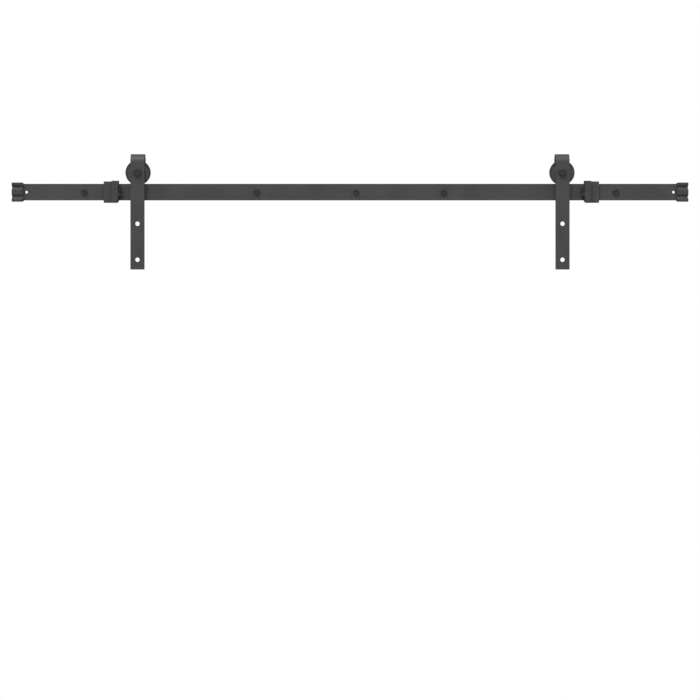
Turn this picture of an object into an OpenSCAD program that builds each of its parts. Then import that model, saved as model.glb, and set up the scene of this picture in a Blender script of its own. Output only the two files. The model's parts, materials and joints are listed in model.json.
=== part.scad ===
// Barn door track for a small cabinet door. A two-piece flat rail stands off the wall on
// spacers. Two hangers carry the door on grooved wheels that roll along the rail's top edge.
// Two stops slide along the rail and are clamped from behind, and two caps close its ends.
//
// Frame: X runs along the rail, +Y points into the wall and +Z is up. The origin is on the
// wall's surface, level with the rail's centreline and halfway along the rail.

/* [Rail] */
// Length of the two rail halves together
rail_length = 1220; // [1210:2:1260]
// Height of the rail bar
rail_height = 30; // [28:0.5:32]
// Thickness of the rail bar
rail_thickness = 5; // [4:0.5:6]
// Chamfer along the rail's long edges
rail_chamfer = 0.6; // [0.2:0.1:1]
// Length over which the two halves overlap
lap_length = 19; // [16:1:24]
// How far the overlap's screw sits from the middle of the rail
lap_screw_x = 11; // [8:1:14]
// Gap at each end of the overlap
lap_gap = 0.3; // [0.1:0.1:0.6]
// Diameter of the through-hole near each end of the rail
end_hole_d = 5; // [4:0.5:6]
// Distance from each end of the rail to its through-hole
end_hole_inset = 24; // [24:1:30]

/* [Wall fixing] */
// Gap between the wall and the back of the rail
wall_gap = 25; // [25:1:32]
// Distance from the middle to each outer wall screw
outer_screw_x = 481.5; // [478:0.5:500]
// Distance from the middle to each inner wall screw
inner_screw_x = 169.5; // [150:0.5:200]
// Diameter of the wall screws' threaded part
screw_d = 6; // [5.6:0.1:6.2]
// Diameter of the wall screws' plain shank
screw_shank_d = 5.4; // [5:0.1:5.5]
// Diameter of the holes that the wall screws pass through
screw_hole_d = 6.6; // [6.4:0.1:7]
// Length of each wall screw beyond the wall's surface
screw_in_wall = 35; // [25:1:50]
// Length of the tapered tip of each wall screw
screw_tip = 6; // [4:1:8]
// Width across the flats of the wall screws' heads
screw_head_flats = 10; // [8:1:10]
// Height of the wall screws' heads
screw_head_height = 4; // [3:0.5:4]
// Outer diameter of the wall spacers
spacer_d = 18; // [14:1:22]

/* [Hangers] */
// Distance from the middle to each hanger as stored
hanger_x = 384; // [350:1:386]
// Width of the hanger strap
strap_width = 25.4; // [20:0.2:28]
// Thickness of the hanger strap
strap_thickness = 4; // [3:0.5:4.5]
// Gap between the strap's front and rear arms
arm_gap = 20; // [19:0.5:21]
// How far the strap hangs below the rail's centreline
strap_drop = 140; // [130:1:200]
// Straight height of the arms from the axle up to the bend
arm_rise = 19.5; // [17:0.5:30]
// How far the rear arm reaches below the axle
rear_arm_reach = 13; // [9:0.5:14]
// Diameter of the door screw holes in the strap
door_hole_d = 8; // [6:0.5:9]
// Distance between the two door screw holes
door_hole_pitch = 65; // [50:1:70]
// Distance from the strap's lower end to the lower door screw hole
door_hole_edge = 17.7; // [12:0.1:24]

/* [Wheels] */
// Diameter over the wheel's flanges
wheel_d = 45.2; // [44:0.2:48]
// Depth of the groove that sits on the rail
groove_depth = 2.4; // [1.6:0.2:4]
// Side play between the groove and the rail
groove_play = 0.3; // [0.2:0.1:0.5]
// Width of the wheel over its flanges
rim_width = 10; // [9:0.5:11]
// Width of the wheel over its hub
hub_width = 12; // [11:0.5:16]
// Diameter of the raised boss on each side of the wheel
boss_d = 29.4; // [27:0.2:31]

/* [Axles] */
// Diameter of the axle bolt
axle_d = 7.9; // [7.8:0.05:7.95]
// Width across the flats of the axle bolt's head and nut
axle_flats = 13; // [12:0.5:14]
// Height of the axle bolt's head
axle_head_height = 5.3; // [4:0.1:6]
// Height of the lock nut with its collar
lock_nut_height = 8; // [7:0.5:9]
// How far the bolt stands out of the lock nut
axle_end = 1; // [0.5:0.5:3]
// Outer diameter of the spacers between the bearing and the arms
axle_spacer_d = 12; // [11:0.1:12.4]

/* [Bearings] */
// Outer diameter of the ball bearing
bearing_od = 22; // [22:0.1:23]
// Bore of the ball bearing
bearing_bore = 8; // [8:0.01:8.04]
// Width of the ball bearing
bearing_width = 7; // [6.5:0.1:7.5]
// Diameter of the balls
ball_d = 3.8; // [3.4:0.1:4]
// Number of balls
ball_count = 7; // [5:1:8]

/* [Stops] */
// Distance from the middle to the left stop's inner face as stored
left_stop_x = 419.1; // [416:0.1:424]
// Distance from the middle to the right stop's inner face as stored
right_stop_x = 424.1; // [420:0.1:429]
// Length of the steel collar along the rail
collar_length = 15; // [13:0.5:16]
// Height of the steel collar
collar_height = 38.8; // [38:0.1:40]
// How far the collar stands in front of the rail
collar_front = 4; // [3:0.5:5]
// How far the collar reaches behind the rail
collar_back = 9; // [7:0.5:10]
// Length of the bumper block along the rail
bumper_length = 11.6; // [10:0.1:12]
// Height of the bumper block
bumper_height = 40; // [39.6:0.1:41]
// How far the bumper block stands in front of the rail
bumper_front = 11.5; // [10:0.5:12]
// Length of the rubber pad that meets the strap first
pad_length = 5; // [4:0.5:6]
// Height of the rubber pad
pad_height = 18.6; // [16:0.2:20]
// Clearance between a stop and the rail it slides on
stop_play = 0.4; // [0.3:0.1:0.6]
// Diameter of the set screws that clamp a stop
set_screw_d = 5; // [4:0.5:5]

/* [End caps] */
// Length of rail that each cap covers
cap_cover = 19; // [14:0.5:19]
// Thickness of the cap beyond the rail's end
cap_end_wall = 2.4; // [2:0.1:4]
// Height of the cap
cap_height = 34.8; // [34:0.2:38]
// How far the cap stands in front of and behind the rail
cap_wall = 5; // [4:0.5:6]
// Distance from the cap's centreline to each grip groove
cap_groove_z = 8.5; // [7:0.5:9]
// Width of each grip groove
cap_groove_width = 8; // [6:0.5:9]
// Depth of each grip groove
cap_groove_depth = 2.4; // [1:0.1:3]

/* [Hidden] */

coated_steel = [0.20, 0.20, 0.21];
dark_steel = [0.14, 0.14, 0.15];
black_rubber = [0.17, 0.17, 0.17];
black_nylon = [0.19, 0.19, 0.20];
bright_steel = [0.70, 0.71, 0.72];
white_nylon = [0.85, 0.85, 0.82];

round_fn = 96; // sides that stand for a full circle
cut = 1; // how far a cutter runs past the surface it opens

// Planes across the wall, from front to back
rail_back = -wall_gap;
rail_front = rail_back - rail_thickness;
rail_mid = rail_back - rail_thickness / 2;
front_arm_back = rail_mid - arm_gap / 2;
front_arm_front = front_arm_back - strap_thickness;
rear_arm_front = rail_mid + arm_gap / 2;
rear_arm_back = rear_arm_front + strap_thickness;

// Rail joint and wall screws
rail_half = rail_length / 2;
lap_start = lap_screw_x - lap_length / 2;
lap_stop = lap_screw_x + lap_length / 2;
wall_screw_xs = [-outer_screw_x, -inner_screw_x, lap_screw_x, inner_screw_x, outer_screw_x];
end_hole_x = rail_half - end_hole_inset;

// Wheel and axle
roll_gap = 0.05; // gap between the groove's floor and the rail's top edge
root_r = wheel_d / 2 - groove_depth;
rim_r = wheel_d / 2;
axle_z = rail_height / 2 + roll_gap + root_r;
groove_half = rail_thickness / 2 + groove_play;
groove_flare = 0.4; // how much wider each side of the groove is at the rim
rim_half = rim_width / 2;
hub_half = hub_width / 2;
boss_r = boss_d / 2;
edge = 0.5; // chamfer on the wheel's corners
web_recess = 0.8; // how far the wheel's web lies below its rim
web_band = 2.4; // width of the flat band at the rim

// Bearing, measured from its own axis and mid-plane
bearing_half = bearing_width / 2;
outer_r = bearing_od / 2;
inner_r = bearing_bore / 2;
pitch_r = 7.5;
race_gap = 0.1; // running gap between a ball and its race
race_r = ball_d / 2 + race_gap;
outer_land_r = 8.7; // inner radius of the outer ring beside its race
inner_land_r = 6.3; // outer radius of the inner ring beside its race
shield_seat_r = 9;
shield_hole_r = 6.6;
shield_thickness = 0.4;
shield_inset = 0.25;
shield_seat_half = bearing_half - shield_inset - shield_thickness;
cage_r = [6.8, 8.2];
cage_span = [-1, 2.6];
seat_shoulder_r = 9.7; // opening in the shoulder that the bearing is pressed against

// Strap
strap_half = strap_width / 2;
bend_z = axle_z + arm_rise;
bend_inner_r = arm_gap / 2;
bend_outer_r = bend_inner_r + strap_thickness;
axle_hole_d = 8.2;
lower_door_hole_z = -strap_drop + door_hole_edge;
door_hole_zs = [lower_door_hole_z, lower_door_hole_z + door_hole_pitch];

// Fasteners
head_bevel = 0.5; // bevel round the outer face of a hexagon head
axle_tip = rear_arm_back + lock_nut_height + axle_end;
nut_hex_height = lock_nut_height - 1.6;
insert_r = 5.2;
insert_height = 1.8;
insert_inset = 0.2;
thread_r = axle_d / 2 + 0.05; // threaded bores are drawn plain, just clear of the bolt

// Stops
collar_play = rail_height / 2 + stop_play;
stop_front = rail_front - stop_play;
stop_back = rail_back + stop_play;
stop_chamfer = 0.8;
collar_y = [rail_front - collar_front, rail_back + collar_back];
collar_z = [-collar_height / 2, collar_height / 2];
bumper_y = [rail_front - bumper_front, rail_back + 5];
bumper_z = [-bumper_height / 2 + 0.5, bumper_height / 2 + 0.5];
bumper_corner = 3; // chamfer on the bumper's lower inner corner
pad_y = [front_arm_front + 1.5, rail_front - 0.6];
pad_mid_y = (pad_y[0] + pad_y[1]) / 2;
pad_z = -0.9; // height of the pad's middle
pad_corner = 1.2;
pad_rib_r = 1.8; // half-round rib across the pad's front
pad_rib_z = -5.2;
pad_stem_d = 4;
pad_stem_length = 5;
set_screw_zs = [-8, 8];
set_screw_length = 8;
set_screw_gap = 0.02; // gap between a set screw's tip and the rail as stored
socket_flats = 2.5;
socket_depth = 2.5;

// End caps
cap_mouth = rail_half - cap_cover;
cap_end = rail_half + cap_end_wall;
cap_y = [rail_front - cap_wall, rail_back + cap_wall];
cap_z = [-cap_height / 2, cap_height / 2];
cap_edge = 1.2;
cap_lip = 3.4; // length of the slope at the cap's mouth
cap_lip_wall = [2.8, 0.4]; // wall left at the mouth, in front of the rail and above it
cap_groove_r = (pow(cap_groove_width / 2, 2) + pow(cap_groove_depth, 2)) / (2 * cap_groove_depth);
cap_end_notch = 0.8; // depth of the grip grooves where they cross the cap's end
cap_groove_ys = [cap_y[0] + cap_groove_depth - cap_groove_r, cap_y[1] - cap_groove_depth + cap_groove_r];

// Outline of a rectangle with its four corners cut off
function chamfered(a, b, c) = [
    [a[0] + c, b[0]], [a[1] - c, b[0]], [a[1], b[0] + c], [a[1], b[1] - c],
    [a[1] - c, b[1]], [a[0] + c, b[1]], [a[0], b[1] - c], [a[0], b[0] + c],
];

// A box between two planes on each axis
module block(x, y, z)
    translate([x[0], y[0], z[0]]) cube([x[1] - x[0], y[1] - y[0], z[1] - z[0]]);

// Carries a Y-Z outline along X
module along_x(x)
    translate([x[0], 0, 0]) rotate([90, 0, 90]) linear_extrude(x[1] - x[0]) children();

// Carries an X-Z outline along Y
module along_y(y)
    translate([0, y[1], 0]) rotate([90, 0, 0]) linear_extrude(y[1] - y[0]) children();

// A round bar along X
module rod(x, y, z, d)
    translate([x[0], y, z]) rotate([0, 90, 0]) cylinder(d = d, h = x[1] - x[0], $fn = round_fn);

// A round bar along Y, or a hexagonal one when sides is 6
module bar(x, y, z, d, sides = round_fn)
    translate([x, y[0], z]) rotate([-90, 0, 0]) cylinder(d = d, h = y[1] - y[0], $fn = sides);

// Turns a radius-width outline about the Y line through (x, z), with width zero at the rail's middle
module turned(x, z)
    translate([x, rail_mid, z]) rotate([-90, 0, 0]) rotate_extrude($fn = round_fn) children();

// A hexagon head or nut along Y, bevelled at its front end
module hexagon(x, y, z, flats) {
    corners = flats / cos(30);
    intersection() {
        bar(x, y, z, corners, 6);
        translate([x, y[0], z]) rotate([-90, 0, 0])
            cylinder(d1 = flats - head_bevel, d2 = flats - head_bevel + 6 * (y[1] - y[0]),
                h = y[1] - y[0], $fn = round_fn);
    }
}

// Rail

module rail_bar(x)
    along_x(x) polygon(chamfered([rail_front, rail_back], [-rail_height / 2, rail_height / 2],
        rail_chamfer));

module rail_screw_holes()
    for (x = wall_screw_xs)
        bar(x, [rail_front - cut, rail_back + cut], 0, screw_hole_d);

module left_rail()
    color(coated_steel) difference() {
        rail_bar([-rail_half, lap_stop]);
        block([lap_start, lap_stop + cut], [rail_front - cut, rail_mid], [-rail_height, rail_height]);
        rail_screw_holes();
        bar(-end_hole_x, [rail_front - cut, rail_back + cut], 0, end_hole_d);
    }

module right_rail()
    color(coated_steel) difference() {
        rail_bar([lap_start + lap_gap, rail_half]);
        block([lap_start, lap_stop + lap_gap], [rail_mid, rail_back + cut], [-rail_height, rail_height]);
        rail_screw_holes();
        bar(end_hole_x, [rail_front - cut, rail_back + cut], 0, end_hole_d);
    }

module wall_spacer(x)
    color(coated_steel) difference() {
        bar(x, [rail_back, 0], 0, spacer_d);
        bar(x, [rail_back - cut, cut], 0, screw_hole_d);
    }

module wall_screws()
    color(dark_steel) for (x = wall_screw_xs) {
        hexagon(x, [rail_front - screw_head_height, rail_front], 0, screw_head_flats);
        bar(x, [rail_front, 0], 0, screw_shank_d);
        bar(x, [0, screw_in_wall - screw_tip], 0, screw_d);
        translate([x, screw_in_wall - screw_tip, 0]) rotate([-90, 0, 0])
            cylinder(d1 = screw_d, d2 = 0, h = screw_tip, $fn = round_fn);
    }

// Outline of a cap along the rail, across its height or its depth, from the sloping lip to the end
function cap_outline(wide, mouth) = [
    [cap_mouth, -mouth], [cap_mouth + cap_lip, wide[0]], [cap_end - cap_edge, wide[0]],
    [cap_end, wide[0] + cap_edge], [cap_end, wide[1] - cap_edge], [cap_end - cap_edge, wide[1]],
    [cap_mouth + cap_lip, wide[1]], [cap_mouth, mouth],
];

// side is -1 for the left end and 1 for the right
module end_cap(side)
    color(black_rubber) mirror([side < 0 ? 1 : 0, 0, 0]) difference() {
        intersection() {
            along_x([cap_mouth, cap_end]) polygon(chamfered(cap_y, cap_z, cap_edge));
            along_y([cap_y[0] - cut, cap_y[1] + cut])
                polygon(cap_outline(cap_z, rail_height / 2 + cap_lip_wall[1]));
            translate([0, rail_mid, cap_z[0] - cut]) linear_extrude(cap_height + 2 * cut)
                polygon(cap_outline(cap_y - [rail_mid, rail_mid], rail_thickness / 2 + cap_lip_wall[0]));
        }
        block([cap_mouth - cut, rail_half], [rail_front, rail_back], [-rail_height / 2, rail_height / 2]);
        for (z = [-cap_groove_z, cap_groove_z]) {
            for (y = cap_groove_ys) rod([cap_mouth - cut, cap_end + cut], y, z, 2 * cap_groove_r);
            bar(cap_end - cap_end_notch + cap_groove_r, [cap_y[0] - cut, cap_y[1] + cut], z,
                2 * cap_groove_r);
        }
    }

// Hangers, each at its own x

module hanger_strap(x)
    color(coated_steel) difference() {
        along_x([x - strap_half, x + strap_half]) difference() {
            union() {
                translate([front_arm_front, -strap_drop])
                    square([strap_thickness, bend_z + strap_drop]);
                translate([rear_arm_front, axle_z - rear_arm_reach])
                    square([strap_thickness, bend_z - axle_z + rear_arm_reach]);
                translate([rail_mid, bend_z]) intersection() {
                    circle(r = bend_outer_r, $fn = round_fn);
                    translate([-bend_outer_r, 0]) square([2 * bend_outer_r, bend_outer_r]);
                }
            }
            translate([rail_mid, bend_z]) circle(r = bend_inner_r, $fn = round_fn);
        }
        bar(x, [front_arm_front - cut, rear_arm_back + cut], axle_z, axle_hole_d);
        for (z = door_hole_zs)
            bar(x, [front_arm_front - cut, front_arm_back + cut], z, door_hole_d);
    }

module axle_bolt(x)
    color(dark_steel) {
        hexagon(x, [front_arm_front - axle_head_height, front_arm_front], axle_z, axle_flats);
        bar(x, [front_arm_front, axle_tip], axle_z, axle_d);
    }

module lock_nut(x)
    color(dark_steel) difference() {
        union() {
            mirror([0, 1, 0])
                hexagon(x, [-rear_arm_back - nut_hex_height, -rear_arm_back], axle_z, axle_flats);
            bar(x, [rear_arm_back, rear_arm_back + lock_nut_height], axle_z, axle_flats - 1.2);
        }
        bar(x, [rear_arm_back - cut, rear_arm_back + lock_nut_height + cut], axle_z, 2 * thread_r);
        bar(x, [rear_arm_back + lock_nut_height - insert_height - insert_inset,
            rear_arm_back + lock_nut_height + cut], axle_z, 2 * insert_r);
    }

module lock_nut_insert(x) {
    back = rear_arm_back + lock_nut_height - insert_inset;
    color(white_nylon) difference() {
        bar(x, [back - insert_height, back], axle_z, 2 * insert_r);
        bar(x, [back - insert_height - cut, back + cut], axle_z, 2 * thread_r);
    }
}

// y holds the two faces that the spacer fills between
module axle_spacer(x, y)
    color(bright_steel) difference() {
        bar(x, y, axle_z, axle_spacer_d);
        bar(x, [y[0] - cut, y[1] + cut], axle_z, bearing_bore);
    }

module bearing_inner_ring(x)
    color(bright_steel) turned(x, axle_z) difference() {
        translate([inner_r, -bearing_half]) square([inner_land_r - inner_r, bearing_width]);
        translate([pitch_r, 0]) circle(r = race_r, $fn = round_fn);
    }

module bearing_outer_ring(x)
    color(bright_steel) turned(x, axle_z) difference() {
        polygon([
            [shield_seat_r, -bearing_half], [outer_r, -bearing_half], [outer_r, bearing_half],
            [shield_seat_r, bearing_half], [shield_seat_r, shield_seat_half],
            [outer_land_r, shield_seat_half], [outer_land_r, -shield_seat_half],
            [shield_seat_r, -shield_seat_half],
        ]);
        translate([pitch_r, 0]) circle(r = race_r, $fn = round_fn);
    }

// side is -1 for the shield at the bearing's front and 1 for the one at its back
module bearing_shield(x, side)
    color(bright_steel) turned(x, axle_z)
        translate([shield_hole_r, side * (shield_seat_half + shield_thickness / 2) - shield_thickness / 2])
            square([shield_seat_r - shield_hole_r, shield_thickness]);

// Puts a copy at each ball's place
module at_balls(x)
    for (i = [0:ball_count - 1])
        translate([x, rail_mid, axle_z]) rotate([0, i * 360 / ball_count, 0]) translate([pitch_r, 0, 0])
            children();

module bearing_balls(x)
    color(bright_steel) at_balls(x) sphere(d = ball_d, $fn = 48);

module ball_cage(x)
    color(bright_steel) difference() {
        turned(x, axle_z) translate([cage_r[0], cage_span[0]])
            square([cage_r[1] - cage_r[0], cage_span[1] - cage_span[0]]);
        at_balls(x) rotate([0, 90, 0])
            cylinder(r = race_r, h = 2 * (cage_r[1] - cage_r[0]), center = true, $fn = round_fn);
    }

module wheel(x)
    color(black_nylon) turned(x, axle_z) polygon([
        [outer_r, -hub_half], [boss_r - edge, -hub_half], [boss_r, edge - hub_half],
        [boss_r, web_recess - rim_half], [rim_r - web_band - web_recess, web_recess - rim_half],
        [rim_r - web_band, -rim_half], [rim_r - edge, -rim_half], [rim_r, edge - rim_half],
        [rim_r, -groove_half - groove_flare], [root_r, -groove_half],
        [root_r, groove_half], [rim_r, groove_half + groove_flare],
        [rim_r, rim_half - edge], [rim_r - edge, rim_half], [rim_r - web_band, rim_half],
        [rim_r - web_band - web_recess, rim_half - web_recess], [boss_r, rim_half - web_recess],
        [boss_r, hub_half - edge], [boss_r - edge, hub_half], [seat_shoulder_r, hub_half],
        [seat_shoulder_r, bearing_half], [outer_r, bearing_half],
    ]);

// Stops. Each is drawn for the right-hand side, with its inner face at x, and mirrored for the left

module stop_side(side)
    mirror([side < 0 ? 1 : 0, 0, 0]) children();

module stop_collar(side, x) {
    span = [x + bumper_length, x + bumper_length + collar_length];
    color(coated_steel) stop_side(side) difference() {
        along_x(span) polygon(chamfered(collar_y, collar_z, stop_chamfer));
        block([span[0] - cut, span[1] + cut], [stop_front, stop_back], [-collar_play, collar_play]);
        for (z = set_screw_zs)
            bar(x + bumper_length + collar_length / 2, [rail_mid, collar_y[1] + cut], z, set_screw_d + 0.1);
    }
}

module stop_bumper(side, x)
    color(black_nylon) stop_side(side) difference() {
        intersection() {
            along_x([x, x + bumper_length]) polygon(chamfered(bumper_y, bumper_z, stop_chamfer));
            along_y([bumper_y[0] - cut, bumper_y[1] + cut]) polygon([
                [x, bumper_z[0] + bumper_corner], [x + bumper_corner, bumper_z[0]],
                [x + bumper_length, bumper_z[0]], [x + bumper_length, bumper_z[1]],
                [x, bumper_z[1]],
            ]);
        }
        block([x - cut, x + bumper_length + cut], [stop_front, stop_back], [-collar_play, collar_play]);
        rod([x - cut, x + pad_stem_length + 0.3], pad_mid_y, pad_z, pad_stem_d + 0.1);
    }

// The rubber pad lies on the bumper's inner face, and its stem is pressed into the bumper
module stop_pad(side, x)
    color(black_rubber) stop_side(side) {
        along_x([x - pad_length, x])
            polygon(chamfered(pad_y, [pad_z - pad_height / 2, pad_z + pad_height / 2], pad_corner));
        rod([x - pad_length, x], pad_y[0], pad_rib_z, 2 * pad_rib_r);
        rod([x - cut, x + pad_stem_length], pad_mid_y, pad_z, pad_stem_d);
    }

module stop_set_screws(side, x) {
    tip = rail_back + set_screw_gap;
    color(dark_steel) stop_side(side) for (z = set_screw_zs)
        difference() {
            bar(x + bumper_length + collar_length / 2, [tip, tip + set_screw_length], z, set_screw_d);
            bar(x + bumper_length + collar_length / 2,
                [tip + set_screw_length - socket_depth, tip + set_screw_length + cut], z,
                socket_flats / cos(30), 6);
        }
}

left_rail();
right_rail();
wall_screws();
for (i = [0:len(wall_screw_xs) - 1])
    wall_spacer(wall_screw_xs[i]);

for (side = [-1, 1]) {
    name = side < 0 ? "left" : "right";
    x = side * hanger_x;
    stop_x = side < 0 ? left_stop_x : right_stop_x;
    end_cap(side);
    hanger_strap(x);
    axle_bolt(x);
    lock_nut(x);
    lock_nut_insert(x);
    axle_spacer(x, [front_arm_back, rail_mid - bearing_half]);
    axle_spacer(x, [rail_mid + bearing_half, rear_arm_front]);
    bearing_inner_ring(x);
    bearing_outer_ring(x);
    bearing_shield(x, -1);
    bearing_shield(x, 1);
    bearing_balls(x);
    ball_cage(x);
    wheel(x);
    stop_collar(side, stop_x);
    stop_bumper(side, stop_x);
    stop_pad(side, stop_x);
    stop_set_screws(side, stop_x);
}
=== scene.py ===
"""Looks for the barn door track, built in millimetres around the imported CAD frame."""

import json
import math
import random

import bmesh
import bpy
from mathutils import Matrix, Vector
from mathutils.geometry import tessellate_polygon


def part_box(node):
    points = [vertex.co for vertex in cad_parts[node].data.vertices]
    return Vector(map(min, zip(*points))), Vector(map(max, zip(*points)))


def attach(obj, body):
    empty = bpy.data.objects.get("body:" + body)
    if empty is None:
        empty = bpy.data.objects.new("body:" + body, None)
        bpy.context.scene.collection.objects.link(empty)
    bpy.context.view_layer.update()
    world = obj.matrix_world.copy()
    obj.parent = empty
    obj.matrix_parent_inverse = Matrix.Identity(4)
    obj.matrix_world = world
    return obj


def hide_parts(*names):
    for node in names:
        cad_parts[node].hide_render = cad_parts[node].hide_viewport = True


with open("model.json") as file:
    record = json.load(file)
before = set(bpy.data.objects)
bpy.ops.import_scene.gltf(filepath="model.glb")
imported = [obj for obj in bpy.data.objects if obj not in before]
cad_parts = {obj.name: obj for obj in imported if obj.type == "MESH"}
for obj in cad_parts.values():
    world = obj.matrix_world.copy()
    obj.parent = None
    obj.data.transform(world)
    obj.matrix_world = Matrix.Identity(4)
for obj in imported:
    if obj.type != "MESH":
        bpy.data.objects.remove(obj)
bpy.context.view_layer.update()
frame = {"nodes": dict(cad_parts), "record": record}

RECORD = frame["record"]
BODY_OF = {node: body for body, nodes in RECORD["behaviour"]["bodies"].items() for node in nodes}
SLOT_OF = {row["node"]: row["material_slot"] for row in RECORD["subparts"]}
MOUNTS = {mount["name"]: mount for mount in RECORD["mounts"]}
SIDES = ("left", "right")
MM = 0.001
TURN = 2 * math.pi


# ---------------------------------------------------------------- places taken from the CAD frame

def extent(node):
    """Lowest and highest corner of a CAD node, in millimetres."""
    low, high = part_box(node)
    return low / MM, high / MM


def middle(node):
    """Centre of a CAD node's box, in millimetres."""
    low, high = extent(node)
    return (low + high) / 2


# ---------------------------------------------------------------- outlines

STRAIGHT = 0.02  # a corner is straight if half its angle is this close to a right angle, in radians
SIDE_SHARE = 0.49  # most of a side that one corner's arc may take up
LEAST_LEAN = 0.3  # keeps a sharp corner from running far out when its outline is moved


def rounded(corners, steps=4):
    """A closed outline from (a, b, radius) corners, each replaced by an arc of its radius."""
    outline = []
    for i, (a, b, radius) in enumerate(corners):
        here = Vector((a, b))
        back = Vector(corners[i - 1][:2]) - here
        ahead = Vector(corners[(i + 1) % len(corners)][:2]) - here
        half = back.angle(ahead) / 2
        if radius <= 0 or half > math.pi / 2 - STRAIGHT:
            outline.append((a, b))
            continue
        reach = min(radius / math.tan(half), SIDE_SHARE * back.length, SIDE_SHARE * ahead.length)
        centre = here + (back.normalized() + ahead.normalized()).normalized() * (reach / math.cos(half))
        start = here + back.normalized() * reach - centre
        end = here + ahead.normalized() * reach - centre
        spread = start.angle(end)
        for k in range(steps + 1):
            share = k / steps
            arm = start * math.sin((1 - share) * spread) + end * math.sin(share * spread)
            outline.append(tuple(centre + arm / math.sin(spread)))
    return outline


def circle(a, b, radius):
    count = 48
    angles = [TURN * i / count for i in range(count)]
    return [(a + radius * math.cos(t), b + radius * math.sin(t)) for t in angles]


def rectangle(a, b, radius, steps=4):
    """A rounded rectangle between a[0], a[1] and b[0], b[1]."""
    corners = [(a[0], b[0]), (a[1], b[0]), (a[1], b[1]), (a[0], b[1])]
    return rounded([(*corner, radius) for corner in corners], steps)


def round_over(radius, steps):
    """A rounded edge as (inset, depth) pairs, from the face down to the side."""
    angles = [math.pi / 2 * k / steps for k in range(steps + 1)]
    return [(radius * (1 - math.sin(t)), radius * (1 - math.cos(t))) for t in angles]


def wound(loop, anticlockwise):
    """The loop, reversed if it runs the other way."""
    area = sum(p[0] * q[1] - q[0] * p[1] for p, q in zip(loop, loop[1:] + loop[:1]))
    return loop if (area > 0) == anticlockwise else loop[::-1]


def inset(loop, distance):
    """The loop moved to its left by a distance, corners kept."""
    moved = []
    for i, point in enumerate(loop):
        here = Vector(point)
        before = (here - Vector(loop[i - 1])).normalized()
        after = (Vector(loop[(i + 1) % len(loop)]) - here).normalized()
        normal = Vector((-before.y - after.y, before.x + after.x)).normalized()
        lean = max(LEAST_LEAN, normal.dot(Vector((-after.y, after.x))))
        moved.append(tuple(here + normal * distance / lean))
    return moved


# ---------------------------------------------------------------- meshes

def make(name, points, faces, centre=(0, 0, 0)):
    """A closed piece from points in millimetres, with its own origin at centre."""
    origin = Vector(centre)
    mesh = bpy.data.meshes.new(name)
    mesh.from_pydata([(Vector(p) - origin) * MM for p in points], [], faces)
    work = bmesh.new()
    work.from_mesh(mesh)
    bmesh.ops.remove_doubles(work, verts=work.verts, dist=0.002 * MM)
    bmesh.ops.dissolve_degenerate(work, edges=work.edges, dist=0.001 * MM)
    bmesh.ops.recalc_face_normals(work, faces=work.faces)
    work.to_mesh(mesh)
    work.free()
    piece = bpy.data.objects.new(name, mesh)
    piece.location = origin * MM
    bpy.context.scene.collection.objects.link(piece)
    return piece


def skin(rings, ring_shaped=False, caps=(True, True)):
    """Points and faces of a skin over rings with one number of points, capped at its ends."""
    count = len(rings[0])
    points = [p for ring in rings for p in ring]
    pairs = [(k, k + 1) for k in range(len(rings) - 1)]
    if ring_shaped:
        pairs.append((len(rings) - 1, 0))
    faces = []
    for a, b in pairs:
        for i in range(count):
            j = (i + 1) % count
            faces.append((a * count + i, a * count + j, b * count + j, b * count + i))
    if caps[0] and not ring_shaped:
        faces.append(tuple(range(count)))
    if caps[1] and not ring_shaped:
        faces.append(tuple((len(rings) - 1) * count + i for i in range(count)))
    return points, faces


def across(ring):
    """Faces that close a ring straight across along Y, one strip for each height."""
    heights = {}
    for i, (_, y, z) in enumerate(ring):
        heights.setdefault(round(z, 3), []).append((y, i))
    rows = [[i for _, i in sorted(heights[z])] for z in sorted(heights)]
    return [tuple(low + high[::-1]) for low, high in zip(rows, rows[1:])]


def turned(name, centre, levels, ring_shaped=False, count=96):
    """A piece turned round the Y direction through centre. Each level is (radius, y), as numbers
    or as functions of the angle."""
    def at(value, angle):
        return value(angle) if callable(value) else value

    rings = []
    for radius, y in levels:
        ring = []
        for i in range(count):
            angle = TURN * i / count
            reach = at(radius, angle)
            ring.append((centre[0] + reach * math.sin(angle), at(y, angle),
                         centre[2] + reach * math.cos(angle)))
        rings.append(ring)
    return make(name, *skin(rings, ring_shaped), centre)


def washer_shape(name, centre, corners, count=96):
    """A turned piece with a hole, from the (radius, y, corner radius) points of its section."""
    return turned(name, centre, rounded(corners), ring_shaped=True, count=count)


def tube(name, node, centre, bore, edges):
    """A tube that fills a node's box. edges are its corner radii: inside and outside in front,
    then outside and inside behind."""
    low, high = extent(node)
    outer = (high.x - low.x) / 2
    corners = [(bore, low.y), (outer, low.y), (outer, high.y), (bore, high.y)]
    section = [(*corner, edge) for corner, edge in zip(corners, edges)]
    return washer_shape(name, centre, section)


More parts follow.
